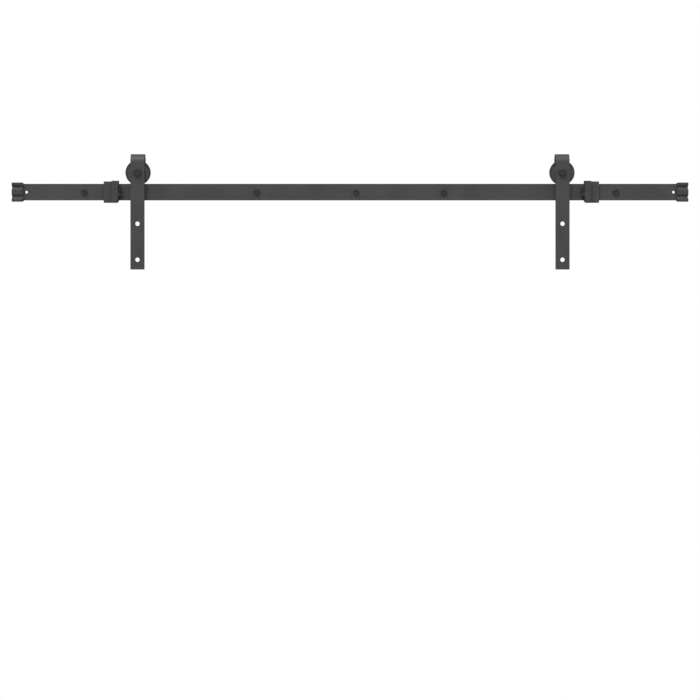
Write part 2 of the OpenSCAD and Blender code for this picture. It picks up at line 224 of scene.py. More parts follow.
def plate(name, outline, holes, span, place, bevel, centre=(0, 0, 0)):
    """A plate between span[0] and span[1], its edges rounded by bevel and its holes by rim.
    place turns (u, v, w) into a point."""
    rim, steps = 0.25, 3
    loops = [(wound(outline, True), bevel)] + [(wound(hole, False), rim) for hole in holes]
    points, faces = [], []
    ends = ([], [])
    for loop, radius in loops:
        near = [(distance, span[0] + depth) for distance, depth in round_over(radius, steps)]
        far = [(distance, span[0] + span[1] - w) for distance, w in reversed(near)]
        count, start = len(loop), len(points)
        levels = near + far
        for distance, w in levels:
            points += [place(u, v, w) for u, v in inset(loop, distance)]
        for k in range(len(levels) - 1):
            for i in range(count):
                j = (i + 1) % count
                a, b = start + k * count, start + (k + 1) * count
                faces.append((a + i, a + j, b + j, b + i))
        ends[0].append(list(range(start, start + count)))
        ends[1].append(list(range(start + (len(levels) - 1) * count, start + len(levels) * count)))
    flat = [[Vector((*uv, 0)) for uv in inset(loop, radius)] for loop, radius in loops]
    triangles = tessellate_polygon(flat)
    for end in ends:
        index = [i for loop in end for i in loop]
        faces += [tuple(index[i] for i in triangle) for triangle in triangles]
    return make(name, points, faces, centre)


def combine(piece, other, operation):
    """Cuts other out of piece, or joins it on, and removes other."""
    modifier = piece.modifiers.new("combine", "BOOLEAN")
    modifier.object = other
    modifier.operation = operation
    modifier.solver = "EXACT"
    bpy.context.view_layer.update()
    result = bpy.data.meshes.new_from_object(piece.evaluated_get(bpy.context.evaluated_depsgraph_get()))
    piece.modifiers.clear()
    piece.data = result
    bpy.data.objects.remove(other)
    return piece


def drill(piece, x, y, z, radius, rim):
    """Drills a hole along Y with rounded rims where it meets the faces at y[0] and y[1]."""
    past = 1.0  # how far the cutter stands out of the faces
    flare = [(radius + inset_by, depth) for inset_by, depth in round_over(rim, 4)]
    front = [(r, y[0] + depth) for r, depth in flare]
    back = [(r, y[1] - depth) for r, depth in reversed(flare)]
    levels = [(radius + rim, y[0] - past)] + front + back + [(radius + rim, y[1] + past)]
    return combine(piece, turned("cutter", (x, 0, z), levels, count=64), "DIFFERENCE")


def box_cutter(x, y, z):
    """A plain block between two places on each axis."""
    corners = [(i, j, k) for i in x for j in y for k in z]
    faces = [(0, 1, 3, 2), (4, 6, 7, 5), (0, 4, 5, 1), (2, 3, 7, 6), (0, 2, 6, 4), (1, 5, 7, 3)]
    return make("cutter", corners, faces)


def stand_for(piece, node, sharp=35):
    """Finishes a piece: its shading, material, slot and body, and the CAD node that it replaces.
    Edges that turn more than sharp degrees stay sharp."""
    mesh = piece.data
    mesh.shade_smooth()
    mesh.set_sharp_from_angle(angle=math.radians(sharp))
    weighted = piece.modifiers.new("weighted_normals", "WEIGHTED_NORMAL")
    weighted.keep_sharp = True
    mesh.materials.clear()
    mesh.materials.append(MATERIALS[SLOT_OF[node]])
    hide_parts(node)
    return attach(piece, BODY_OF[node])


# ---------------------------------------------------------------- materials

class Surface:
    """A Principled material with procedural detail. Scales are in features per metre."""

    def __init__(self, name, metallic=0.0, specular=0.5):
        self.material = bpy.data.materials.new(name)
        self.material.use_nodes = True
        self.tree = self.material.node_tree
        self.tree.nodes.clear()
        self.shader = self.node("ShaderNodeBsdfPrincipled")
        output = self.node("ShaderNodeOutputMaterial")
        self.link(self.shader.outputs["BSDF"], output.inputs["Surface"])
        self.shader.inputs["Metallic"].default_value = metallic
        self.shader.inputs["Specular IOR Level"].default_value = specular
        self.where = self.node("ShaderNodeTexCoord").outputs["Object"]
        self.normal = None

    def node(self, kind, **settings):
        made = self.tree.nodes.new(kind)
        for key, value in settings.items():
            setattr(made, key, value)
        return made

    def link(self, source, target):
        self.tree.links.new(source, target)

    def noise(self, scale, detail, where=None):
        """Noise from 0 to 1, over the piece's own coordinates unless others are given."""
        noise = self.node("ShaderNodeTexNoise")
        noise.inputs["Scale"].default_value = scale
        noise.inputs["Detail"].default_value = detail
        self.link(self.where if where is None else where, noise.inputs["Vector"])
        return noise.outputs["Fac"]

    def cells(self, scale):
        """Distance to the nearest random point, in cell sizes."""
        voronoi = self.node("ShaderNodeTexVoronoi")
        voronoi.inputs["Scale"].default_value = scale
        self.link(self.where, voronoi.inputs["Vector"])
        return voronoi.outputs["Distance"]

    def depth(self):
        """Place along the piece's own Y axis."""
        parts = self.node("ShaderNodeSeparateXYZ")
        self.link(self.where, parts.inputs["Vector"])
        return parts.outputs["Y"]

    def radius(self):
        """Distance from the piece's own Y axis."""
        across = self.node("ShaderNodeVectorMath", operation="MULTIPLY")
        self.link(self.where, across.inputs[0])
        across.inputs[1].default_value = (1, 0, 1)
        length = self.node("ShaderNodeVectorMath", operation="LENGTH")
        self.link(across.outputs["Vector"], length.inputs[0])
        return length.outputs["Value"]

    def lathe_lines(self, scale):
        """Fine rings round the piece's own Y axis."""
        rings = self.node("ShaderNodeCombineXYZ")
        self.link(self.radius(), rings.inputs["X"])
        self.link(self.depth(), rings.inputs["Y"])
        return self.noise(scale, 2.0, rings.outputs["Vector"])

    def remap(self, value, low, high, out_low=0, out_high=1):
        """out_low where value is low, out_high where it is high, and even steps in between."""
        ranged = self.node("ShaderNodeMapRange")
        settings = (("From Min", low), ("From Max", high), ("To Min", out_low), ("To Max", out_high))
        for key, number in settings:
            ranged.inputs[key].default_value = number
        self.link(value, ranged.inputs["Value"])
        return ranged.outputs["Result"]

    def multiply(self, a, b):
        product = self.node("ShaderNodeMath", operation="MULTIPLY")
        self.link(a, product.inputs[0])
        self.link(b, product.inputs[1])
        return product.outputs["Value"]

    def blend(self, factor, a, b):
        """A colour between a and b, each a colour or a socket."""
        mix = self.node("ShaderNodeMix", data_type="RGBA")
        self.link(factor, mix.inputs["Factor"])
        for key, value in (("A", a), ("B", b)):
            socket = next(slot for slot in mix.inputs if slot.name == key and slot.type == "RGBA")
            if isinstance(value, bpy.types.NodeSocket):
                self.link(value, socket)
            else:
                socket.default_value = (*value, 1)
        return next(slot for slot in mix.outputs if slot.type == "RGBA")

    def edges(self, radius_mm):
        """1 along edges and 0 on flat faces. It compares the true normal with one that is rounded
        over radius_mm: their cosine is 1 on a face and falls towards an edge."""
        face, edge = 0.995, 0.86
        bevel = self.node("ShaderNodeBevel", samples=4)
        bevel.inputs["Radius"].default_value = radius_mm * MM
        plain = self.node("ShaderNodeNewGeometry")
        dot = self.node("ShaderNodeVectorMath", operation="DOT_PRODUCT")
        self.link(bevel.outputs["Normal"], dot.inputs[0])
        self.link(plain.outputs["Normal"], dot.inputs[1])
        return self.remap(dot.outputs["Value"], face, edge)

    def relief(self, value, depth_mm, strength):
        """Adds a layer of bump over the layers before it."""
        bump = self.node("ShaderNodeBump")
        bump.inputs["Distance"].default_value = depth_mm * MM
        bump.inputs["Strength"].default_value = strength
        self.link(value, bump.inputs["Height"])
        if self.normal is not None:
            self.link(self.normal, bump.inputs["Normal"])
        self.normal = bump.outputs["Normal"]
        self.link(self.normal, self.shader.inputs["Normal"])

    def finish(self, color, roughness):
        """Joins up the last two sockets and returns the material."""
        self.link(color, self.shader.inputs["Base Color"])
        self.link(roughness, self.shader.inputs["Roughness"])
        return self.material


def grey(value, warmth=0.0):
    """A grey, with a little more red and less blue if it is warm."""
    return (value * (1 + warmth), value, value * (1 - warmth))


def powder_coat():
    """Fine-textured matt black coat with a faint orange peel, rubbed at the edges."""
    look = Surface("satin_black_powder_coat")
    patches = look.noise(22, 5)
    peel = look.noise(520, 2)
    grain = look.noise(2600, 3)
    color = look.blend(look.remap(patches, 0.35, 0.65), grey(0.037), grey(0.049))
    color = look.blend(look.remap(grain, 0.56, 0.78), color, grey(0.080))
    color = look.blend(look.remap(grain, 0.42, 0.26), color, grey(0.018))
    rubbed = look.multiply(look.edges(0.7), look.remap(look.noise(260, 4), 0.42, 0.68, 0, 0.6))
    color = look.blend(rubbed, color, grey(0.14, 0.02))
    look.relief(peel, 0.12, 0.6)
    look.relief(grain, 0.06, 0.9)
    return look.finish(color, look.remap(patches, 0.3, 0.7, 0.42, 0.58))


def black_oxide():
    """Oiled black oxide with turning marks, bare along its sharpest edges."""
    look = Surface("black_oxide_steel", metallic=0.6)
    bloom = look.noise(180, 4)
    fine = look.noise(2600, 3)
    color = look.blend(look.remap(bloom, 0.35, 0.65), grey(0.026), grey(0.045, 0.03))
    bare = look.multiply(look.edges(0.35), look.remap(look.noise(900, 3), 0.4, 0.62, 0, 0.6))
    color = look.blend(bare, color, grey(0.18))
    look.relief(look.lathe_lines(2800), 0.02, 0.5)
    look.relief(fine, 0.02, 0.8)
    return look.finish(color, look.remap(bloom, 0.3, 0.7, 0.44, 0.62))


def wheel_nylon():
    """Turned nylon: a dusty web, with the rim and groove beyond it painted darker as painted shade along
    the wheel's outline.
    """
    look = Surface("black_turned_nylon")
    clouds = look.noise(60, 3)
    rings = look.lathe_lines(2400)
    color = look.blend(look.remap(clouds, 0.35, 0.65), grey(0.055), grey(0.067))
    dust = look.multiply(look.remap(rings, 0.55, 0.75), look.remap(look.noise(500, 3), 0.45, 0.7, 0, 0.5))
    color = look.blend(dust, color, grey(0.10))
    # Painted shade: past the web, the rim and groove are painted a darker grey, which draws the wheel's
    # dark outline.
    web_ends, rim_starts = 20.3 * MM, 21.3 * MM
    color = look.blend(look.remap(look.radius(), web_ends, rim_starts), color, grey(0.024))
    look.relief(rings, 0.04, 0.8)
    look.relief(look.noise(1500, 3), 0.02, 0.7)
    return look.finish(color, look.remap(clouds, 0.3, 0.7, 0.36, 0.52))


def rubber(name, low, high, roughness, pits):
    """Moulded rubber or nylon between two greys, finely pitted and chalky along its edges."""
    look = Surface(name, specular=0.35)
    clouds = look.noise(45, 4)
    grain = look.noise(pits, 3)
    color = look.blend(look.remap(clouds, 0.35, 0.65), grey(low), grey(high))
    color = look.blend(look.remap(grain, 0.58, 0.8), color, grey(high * 1.7))
    chalk = look.multiply(look.edges(0.9), look.remap(look.noise(340, 4), 0.45, 0.7, 0, 0.4))
    color = look.blend(chalk, color, grey(0.11))
    look.relief(look.cells(1300), 0.05, 0.6)
    look.relief(grain, 0.05, 0.8)
    return look.finish(color, look.remap(clouds, 0.3, 0.7, roughness - 0.07, roughness + 0.07))


def pad_rubber():
    """Soft black rubber, with a painted highlight: the rib that stands out in front is painted a lighter
    grey, in noisy patches.
    """
    look = Surface("soft_pad_rubber", specular=0.3)
    clouds = look.noise(45, 4)
    color = look.blend(look.remap(clouds, 0.35, 0.65), grey(0.017), grey(0.024))
    rib_foot, rib_side = -0.3 * MM, -1.2 * MM  # from the pad's flat front, where its origin is
    # Painted highlight: the rib is painted a lighter grey, broken up by noise.
    rib = look.remap(look.depth(), rib_foot, rib_side)
    rib_highlight = look.multiply(rib, look.remap(look.noise(420, 4), 0.25, 0.6, 0.55, 1))
    color = look.blend(rib_highlight, color, grey(0.052))
    look.relief(look.cells(1300), 0.02, 0.4)
    look.relief(look.noise(1700, 3), 0.025, 0.6)
    return look.finish(color, look.remap(clouds, 0.3, 0.7, 0.72, 0.88))


def bright_steel(name, value, low, high, lines=5200):
    """Bare steel with fine turning lines and a roughness from low to high."""
    look = Surface(name, metallic=1.0)
    rings = look.lathe_lines(lines)
    clouds = look.noise(240, 3)
    color = look.blend(look.remap(clouds, 0.3, 0.7), grey(value * 0.88), grey(value))
    look.relief(rings, 0.006, 0.5)
    return look.finish(color, look.remap(clouds, 0.3, 0.7, low, high))


def zinc_plate():
    """Zinc with a faint spangle and turning lines under it."""
    look = Surface("zinc_plated_steel", metallic=1.0)
    spangle = look.cells(700)
    clouds = look.noise(300, 3)
    color = look.blend(look.remap(spangle, 0.1, 0.6), (0.50, 0.51, 0.54), (0.62, 0.62, 0.63))
    look.relief(look.lathe_lines(3200), 0.01, 0.5)
    return look.finish(color, look.remap(clouds, 0.3, 0.7, 0.26, 0.42))


def natural_nylon():
    """Undyed nylon, slightly see-through."""
    look = Surface("natural_nylon")
    look.shader.inputs["Subsurface Weight"].default_value = 0.25
    look.shader.inputs["Subsurface Scale"].default_value = 1.5 * MM
    clouds = look.noise(500, 3)
    color = look.blend(look.remap(clouds, 0.3, 0.7), (0.70, 0.69, 0.64), (0.80, 0.79, 0.75))
    look.relief(look.noise(2400, 2), 0.01, 0.5)
    return look.finish(color, look.remap(clouds, 0.3, 0.7, 0.36, 0.5))


MATERIALS = {
    "powder_coat": powder_coat(),
    "black_fastener": black_oxide(),
    "wheel_nylon": wheel_nylon(),
    "bumper_nylon": rubber("moulded_bumper_nylon", 0.042, 0.050, 0.50, 2400),
    "pad_rubber": pad_rubber(),
    "cap_rubber": rubber("cap_rubber", 0.040, 0.048, 0.58, 2600),
    "bearing_steel": bright_steel("ground_bearing_steel", 0.62, 0.18, 0.30),
    "bearing_ball": bright_steel("polished_ball_steel", 0.78, 0.06, 0.12, 9000),
    "bearing_shield": bright_steel("pressed_shield_steel", 0.55, 0.30, 0.42, 3000),
    "bearing_cage": bright_steel("pressed_cage_steel", 0.50, 0.34, 0.46, 2600),
    "axle_spacer": zinc_plate(),
    "lock_nylon": natural_nylon(),
}


# ---------------------------------------------------------------- rail

LAP_GAP = 0.3  # open joint at each end of the lap
EDGE = 0.35  # rounding of the rail's edges
SPACERS = range(1, 6)
SCREW_XS = [middle(f"wall_spacer_{number}").x for number in SPACERS]
SCREW_HOLE_R = 3.3  # in the rail and in the wall spacers
END_HOLES = MOUNTS["rail_end_holes"]["dims"]


def flat_on_wall(u, v, w):
    """Stands a plate's outline up along X and Z, with its thickness along Y."""
    return (u, w, v)


def lying(u, v, w):
    """Lays a plate's outline down along X and Y, with its thickness along Z."""
    return (u, v, w)


def rail_half(side):
    """A flat bar with its holes, cut away for the lap: behind on the right half and in front on the
    left one, where the cut's outer corner is rounded like the rail's edges."""
    node = f"{side}_rail"
    low, high = extent(node)
    end_hole_x = END_HOLES["spacing_x_mm"] / 2 * (-1 if side == "left" else 1)
    holes = [circle(x, 0, SCREW_HOLE_R) for x in SCREW_XS if low.x < x < high.x]
    holes.append(circle(end_hole_x, 0, END_HOLES["hole_r_mm"]))
    outline = rectangle((low.x, high.x), (low.z, high.z), EDGE)
    bar = plate(f"{node}_bar", outline, holes, (low.y, high.y), flat_on_wall, EDGE)
    halfway = (low.y + high.y) / 2
    past = 5.0  # how far a cutter stands out
    tall = (low.z - past, high.z + past)
    if side == "left":
        seam = extent("right_rail")[0].x - LAP_GAP
        blunt = EDGE / 2
        step = [
            (seam, halfway), (seam, low.y + blunt), (seam - blunt, low.y), (seam - blunt, low.y - past),
            (high.x + past, low.y - past), (high.x + past, halfway),
        ]
        combine(bar, plate("cutter", step, [], tall, lying, bevel=0.01), "DIFFERENCE")
    else:
        seam = extent("left_rail")[1].x + LAP_GAP
        combine(bar, box_cutter((low.x - past, seam), (halfway, high.y + past), tall), "DIFFERENCE")
    stand_for(bar, node)


def wall_spacer(number):
    node = f"wall_spacer_{number}"
    stand_for(tube(f"{node}_tube", node, middle(node), SCREW_HOLE_R, (0.4, 0.9, 0.9, 0.4)), node)


# ---------------------------------------------------------------- fasteners

HEX_CROWN = 0.94  # flat top of a hexagon head, as a share of its width across flats
HEX_CHAMFER = math.tan(math.radians(30))  # how fast its corners fall away outside the crown
AXLE_R = 3.95
AXLE_BORE_R = 4.0  # in the bearing, the axle spacers and the lock nut


def hexagon(flats, blunt=0.25):
    """Radius of a hexagon with slightly blunt corners, as a function of the angle."""
    def radius(angle):
        off = (angle + math.pi / 6) % (math.pi / 3) - math.pi / 6
        return min(flats / 2 / math.cos(off), flats / math.sqrt(3) - blunt)
    return radius


def hex_levels(flats, top, foot, towards):
    """Levels of a hexagon head from its foot to its chamfered, slightly dished top. towards is the
    direction along Y from foot to top."""
    side_r = hexagon(flats)
    crown = flats / 2 * HEX_CROWN
    washer_face = flats * 0.475
    dish_rim, dish_floor, dish_depth = flats * 0.36, flats * 0.31, 0.28

    def shoulder(angle):
        return top - towards * (side_r(angle) - crown) * HEX_CHAMFER

    return [
        (flats * 0.46, foot),
        (washer_face, foot + towards * 0.1),
        (washer_face, foot + towards * 0.35),
        (lambda a: side_r(a) - 0.15, foot + towards * 0.4),
        (side_r, foot + towards * 0.6),
        (side_r, lambda a: shoulder(a) - towards * 0.05),
        (lambda a: side_r(a) - 0.1, shoulder),
        (crown, top),
        (dish_rim, top),
        (dish_floor, top - towards * (dish_depth - 0.06)),
        (0, top - towards * dish_depth),
    ]


def thread(y0, y1, pitch, major, depth, taper=0.0):
    """Levels of a screw thread from y0 to y1. Over the last taper millimetres it runs to a point.
    Without a taper, its ridge gets lower over the last part of a turn."""
    steepness = 2.6  # a ridge is 2 / steepness of the pitch wide at its foot
    per_turn = 8
    levels = []
    count = max(2, round((y1 - y0) / pitch * per_turn))
    for k in range(count + 1):
        y = y0 + (y1 - y0) * k / count
        run_out = min(1.0, (y1 - y) / taper) if taper else min(1.0, (y1 - y) / (0.6 * pitch) + 0.35)
        run_in = min(1.0, (y - y0) / pitch)

        def radius(angle, y=y, run_out=run_out, run_in=run_in):
            phase = (y / pitch - angle / TURN) % 1.0
            ridge = max(0.0, 1 - abs(phase - 0.5) * steepness)
            core = (major - depth) * (run_out ** 0.8 if taper else 1.0)
            return core + depth * ridge * run_in * run_out
        levels.append((radius, y))
    return levels


def wall_screws():
    """Hexagon-headed wood screws, each turned to an angle of its own."""
    node = "wall_screws"
    low, high = extent(node)
    face = extent("left_rail")[0].y
    shank, fillet, thread_start = 2.7, 0.5, -2.5
    rng = random.Random(5)
    levels = list(reversed(hex_levels(high.z - low.z, low.y, face, -1)))
    levels += [(shank + fillet, face), (shank, face + fillet), (shank, thread_start)]
    levels += thread(thread_start, high.y - 0.05, pitch=2.4, major=3.0, depth=0.75, taper=7.0)
    levels.append((0, high.y))
    for number, x in enumerate(SCREW_XS, 1):
        screw = turned(f"wall_screw_{number}", (0, 0, 0), levels, count=72)
        screw.rotation_euler.y = rng.uniform(0, TURN)
        screw.location.x = x * MM
        stand_for(screw, node, sharp=28)


def axle_bolt(side, centre):
    node = f"{side}_axle_bolt"
    low, high = extent(node)
    face = extent(f"{side}_hanger_strap")[0].y
    fillet, thread_start, thread_end = 0.4, high.y - 9, high.y - 0.4
    tip_r = AXLE_R - 0.9
    levels = list(reversed(hex_levels(high.z - low.z, low.y, face, -1)))
    levels += [(AXLE_R + fillet, face), (AXLE_R, face + fillet), (AXLE_R, thread_start)]
    levels += thread(thread_start, thread_end, pitch=1.25, major=AXLE_R, depth=0.68)
    levels += [(tip_r, high.y), (0, high.y)]
    stand_for(turned(f"{node}_steel", centre, levels), node, sharp=28)


def lock_nut(side, centre):
    """A hexagon nut with a round collar behind, which holds a nylon ring in its seat."""
    node = f"{side}_lock_nut"
    low, high = extent(node)
    flats = high.z - low.z
    collar_r, seat_r, seat_depth = flats / 2 - 0.6, 5.2, 2.0
    shoulder_y = high.y - 1.6
    side_r = hexagon(flats)
    crown = flats / 2 * HEX_CROWN
    mouth = 0.5  # bevel where the bolt enters
    levels = [
        (AXLE_BORE_R + mouth, low.y),
        (crown, low.y),
        (side_r, lambda a: low.y + (side_r(a) - crown) * HEX_CHAMFER),
        (side_r, lambda a: shoulder_y - (side_r(a) - crown) * HEX_CHAMFER),
        (crown, shoulder_y),
        (collar_r + 0.15, shoulder_y + 0.05),
        (collar_r, shoulder_y + 0.3),
        (collar_r - 0.05, high.y - 0.6),
        (collar_r - 0.35, high.y - 0.12),
        (seat_r + 0.25, high.y),
        (seat_r, high.y - 0.1),
        (seat_r, high.y - seat_depth),
        (AXLE_BORE_R, high.y - seat_depth),
        (AXLE_BORE_R, low.y + mouth),
    ]
    stand_for(turned(f"{node}_steel", centre, levels, ring_shaped=True), node, sharp=28)
    insert = f"{node}_insert"
    stand_for(tube(f"{insert}_nylon", insert, centre, AXLE_BORE_R, (0.2, 0.2, 0.5, 0.6)), insert)


# ---------------------------------------------------------------- hangers

REAR_ARM_REACH = 13  # how far a strap's rear arm goes below the axle
BEND_STEPS = 28
BEARING_R = 11.0
BEARING_HALF = 3.5


def across_rail(u, v, w):
    """Stands a plate's outline up along Y and Z, with its thickness along X."""
    return (w, u, v)


def hanger_strap(side, centre):
    """A flat bar bent over the wheel, from its long front arm to its short rear one."""
    node = f"{side}_hanger_strap"
    low, high = extent(node)
    doors = MOUNTS[f"{side}_door_holes"]
    thickness = doors["pos_m"][1] / MM - low.y
    outer = (high.y - low.y) / 2
    inner = outer - thickness
    bend_z = high.z - outer
    rear_end = centre.z - REAR_ARM_REACH
    mid_y = (low.y + high.y) / 2
    corner = 0.5
    arc = [math.pi * k / BEND_STEPS for k in range(BEND_STEPS + 1)]
    foot = rounded([(low.y, bend_z, 0), (low.y, low.z, corner), (low.y + thickness, low.z, corner),
                    (low.y + thickness, bend_z, 0)])[1:-1]
    heel = rounded([(high.y - thickness, bend_z, 0), (high.y - thickness, rear_end, corner),
                    (high.y, rear_end, corner), (high.y, bend_z, 0)])[1:-1]
    inside = [(mid_y - inner * math.cos(t), bend_z + inner * math.sin(t)) for t in arc]
    outside = [(mid_y + outer * math.cos(t), bend_z + outer * math.sin(t)) for t in arc]
    outline = foot + inside + heel + outside
    strap = plate(f"{node}_steel", outline, [], (low.x, high.x), across_rail, bevel=0.4)
    drill(strap, centre.x, (low.y, high.y), centre.z, radius=4.1, rim=0.4)
    spread = doors["dims"]["spacing_y_mm"] / 2
    for z in (-spread, spread):
        drill(strap, centre.x, (low.y, low.y + thickness), doors["pos_m"][2] / MM + z,
              doors["dims"]["hole_r_mm"], rim=0.5)
    stand_for(strap, node)


def axle_spacers(side, centre):
    for end in ("front", "rear"):
        node = f"{side}_{end}_axle_spacer"
        stand_for(tube(f"{node}_steel", node, centre, AXLE_BORE_R, (0.3, 0.5, 0.5, 0.3)), node)


def wheel(side, centre):
    """A wheel with a groove for the rail, a boss on each side, and the bearing's seat, which is open
    in front and has a lip behind."""
    node = f"{side}_wheel"
    low, high = extent(node)
    rim, hub = (high.x - low.x) / 2, (high.y - low.y) / 2
    root, boss, lip = rim - 2.4, 14.5, 9.7
    boss_foot = boss + 1.8
    flange_foot, flange_top = rim - 3.4, rim - 2.2
    flange, web = 5.0, 4.2  # half the thickness of the rim and of the web
    groove_root, groove_mouth = 2.8, 3.2  # half the groove's width
    section = [
        (BEARING_R, -hub, 0.5), (boss, -hub, 1.1), (boss_foot, -web, 1.1),
        (flange_foot, -web, 0.9), (flange_top, -flange, 0.5), (rim, -flange, 0.9),
        (rim, -groove_mouth, 0.5), (root, -groove_root, 0.35),
        (root, groove_root, 0.35), (rim, groove_mouth, 0.5),
        (rim, flange, 0.9), (flange_top, flange, 0.5), (flange_foot, web, 0.9),
        (boss_foot, web, 1.1), (boss, hub, 1.1), (lip, hub, 0.4),
        (lip, BEARING_HALF, 0.1), (BEARING_R, BEARING_HALF, 0.1),
    ]
    section = [(radius, centre.y + y, corner) for radius, y, corner in section]
    stand_for(washer_shape(f"{node}_nylon", centre, section, count=160), node)


def bearing(side, centre):
    """Rings and shields are built anew. The balls and cage keep their CAD shape."""
    race, pitch = 2.0, 7.5  # radii of the balls' groove and of the circle that the balls run on
    inner_land, outer_land = 6.3, 9.03
    shield_inner, shield_outer = 6.6, 8.98
    arc = [math.radians(t) for t in range(-60, 61, 15)]
    front, back = centre.y - BEARING_HALF, centre.y + BEARING_HALF

    def ring(node, plain, land, direction):
        """A ring between its plain side and its land, with the balls' groove in the land.
        direction is outwards, 1, or inwards, -1, from the balls."""
        groove = [(pitch + direction * race * math.cos(t), centre.y + race * math.sin(t)) for t in arc]
        groove = [(radius, y) for radius, y in groove if direction * (radius - land) > 0]
        base = rounded([
            (land, front, 0.15), (plain, front, 0.35), (plain, back, 0.35), (land, back, 0.15),
        ])
        stand_for(turned(f"{node}_steel", centre, base + groove[::-1], ring_shaped=True), node)

    ring(f"{side}_bearing_inner_ring", AXLE_BORE_R, inner_land, -1)
    ring(f"{side}_bearing_outer_ring", BEARING_R, outer_land, 1)
    for end in ("front", "rear"):
        node = f"{side}_{end}_bearing_shield"
        low, high = extent(node)
        outside, inside = (low.y, high.y) if end == "front" else (high.y, low.y)
        step = (low.y + high.y) / 2
        section = [
            (shield_inner, outside, 0.05), (7.5, outside, 0.1),
            (7.8, step, 0.1), (shield_outer, step, 0.05),
            (shield_outer, inside, 0.05), (7.6, inside, 0.1),
            (7.4, step, 0.1), (shield_inner, step, 0.05),
        ]
        stand_for(washer_shape(f"{node}_steel", centre, section), node)
    for node in (f"{side}_bearing_balls", f"{side}_ball_cage"):
        finish_cad_node(node)


def finish_cad_node(node):
    """Gives a CAD node that stays in view its material."""
    mesh = frame["nodes"][node].data
    mesh.materials.clear()
    mesh.materials.append(MATERIALS[SLOT_OF[node]])


# ---------------------------------------------------------------- stops

STOP_PLAY = 0.4  # between the rail and a stop, all round
SET_SCREW_R = 2.5


def rail_passage():
    """The opening that the rail passes through, as its range along Y and its range along Z."""
    low, high = extent("left_rail")
    return (low.y - STOP_PLAY, high.y + STOP_PLAY), (low.z - STOP_PLAY, high.z + STOP_PLAY)


def stop_collar(side):
    """A steel collar round the rail, with two tapped holes and their set screws in its back."""
    node = f"{side}_stop_collar"
    low, high = extent(node)
    corner, opening_corner = 1.6, 0.5
    outline = rectangle((low.y, high.y), (low.z, high.z), corner)
    opening = rectangle(*rail_passage(), opening_corner)
    collar = plate(f"{node}_steel", outline, [opening], (low.x, high.x), across_rail, bevel=0.5)
    screws = f"{side}_stop_set_screws"
    screws_low, screws_high = extent(screws)
    x, y, _ = middle(screws)
    heights = (screws_low.z + SET_SCREW_R, screws_high.z - SET_SCREW_R)
    inside = rail_passage()[0][1] - 1.0  # in the opening, so only the back's rim is rounded
    for z in heights:
        drill(collar, x, (inside, high.y), z, radius=SET_SCREW_R + 0.05, rim=0.4)
    stand_for(collar, node)
    for number, z in enumerate(heights, 1):
        set_screw(screws, number, Vector((x, y, z)), screws_low.y, screws_high.y)


def set_screw(node, number, centre, tip, top):
    """A set screw with a cup point and a hexagon socket."""
    socket, socket_depth = hexagon(2.5, 0.0), 2.5
    cup_r, cup_depth, tip_r = 1.1, 0.6, 1.5
    levels = [(0, tip + cup_depth), (cup_r, tip), (tip_r, tip), (SET_SCREW_R - 0.05, tip + 0.9)]
    levels += thread(tip + 1.0, top - 0.6, pitch=0.8, major=SET_SCREW_R, depth=0.42)
    levels += [(2.1, top), (1.6, top), (socket, top - 0.15), (socket, top - socket_depth)]
    levels.append((0, top - socket_depth - 0.5))
    stand_for(turned(f"{node}_{number}", centre, levels, count=72), node, sharp=28)


def stop_bumper(side):
    """A moulded block round the rail, with its lower corner cut away on the hanger's side."""
    node = f"{side}_stop_bumper"
    low, high = extent(node)
    towards = 1 if side == "left" else -1  # direction along X in which the bumper faces the hanger
    face, back = (high.x, low.x) if side == "left" else (low.x, high.x)
    length = abs(face - back)
    cut, corner, bevel, back_bevel = 3.0, 1.0, 0.35, 0.3
    opening_corner, opening_bevel = 0.8, 0.4
    opening_y, opening_z = rail_passage()

    def outer_ring(depth, shrink):
        """Outline at a depth behind the face."""
        lift = max(0.0, cut - depth)
        across_y = (low.y + shrink, high.y - shrink)
        across_z = (low.z + lift + shrink, high.z - shrink)
        return [(face - towards * depth, y, z) for y, z in rectangle(across_y, across_z, corner, 5)]

    def inner_ring(x, grow):
        across_y = (opening_y[0] - grow, opening_y[1] + grow)
        across_z = (opening_z[0] - grow, opening_z[1] + grow)
        return [(x, y, z) for y, z in rectangle(across_y, across_z, opening_corner, 5)]

    rings = [outer_ring(depth, shrink) for shrink, depth in round_over(bevel, 4)]
    rings += [outer_ring(depth, 0) for depth in (1.2, 2.0, 2.6, cut, 3.4, length / 2)]
    rings += [outer_ring(length - depth, shrink) for shrink, depth in reversed(round_over(back_bevel, 4))]
    rings += [inner_ring(back, opening_bevel), inner_ring(back + towards * opening_bevel, 0),
              inner_ring(face - towards * opening_bevel, 0), inner_ring(face, opening_bevel)]
    block = make(f"{node}_block", *skin(rings, ring_shaped=True), ((face + back) / 2, low.y, 0))
    stand_for(block, node, sharp=50)


def stop_pad(side):
    """A soft pad with a half-round rib across its front."""
    node = f"{side}_stop_pad"
    low, high = extent(node)
    rib_r, rib_drop, corner = 1.8, 4.3, 1.6
    bumper_low, bumper_high = extent(f"{side}_stop_bumper")
    span = (low.x, bumper_low.x) if side == "right" else (bumper_high.x, high.x)
    front = low.y + rib_r
    rib_z = (low.z + high.z) / 2 - rib_drop
    foot, crown = 0.6, 1.7  # corner radii of the rib
    outline = rounded([
        (front, low.z, corner), (high.y, low.z, corner),
        (high.y, high.z, corner), (front, high.z, corner),
        (front, rib_z + rib_r, foot), (front - rib_r, rib_z + rib_r, crown),
        (front - rib_r, rib_z - rib_r, crown), (front, rib_z - rib_r, foot),
    ], 6)
    centre = (sum(span) / 2, front, rib_z)
    pad = plate(f"{node}_rubber", outline, [], span, across_rail, bevel=0.6, centre=centre)
    stand_for(pad, node, sharp=50)


# ---------------------------------------------------------------- end caps

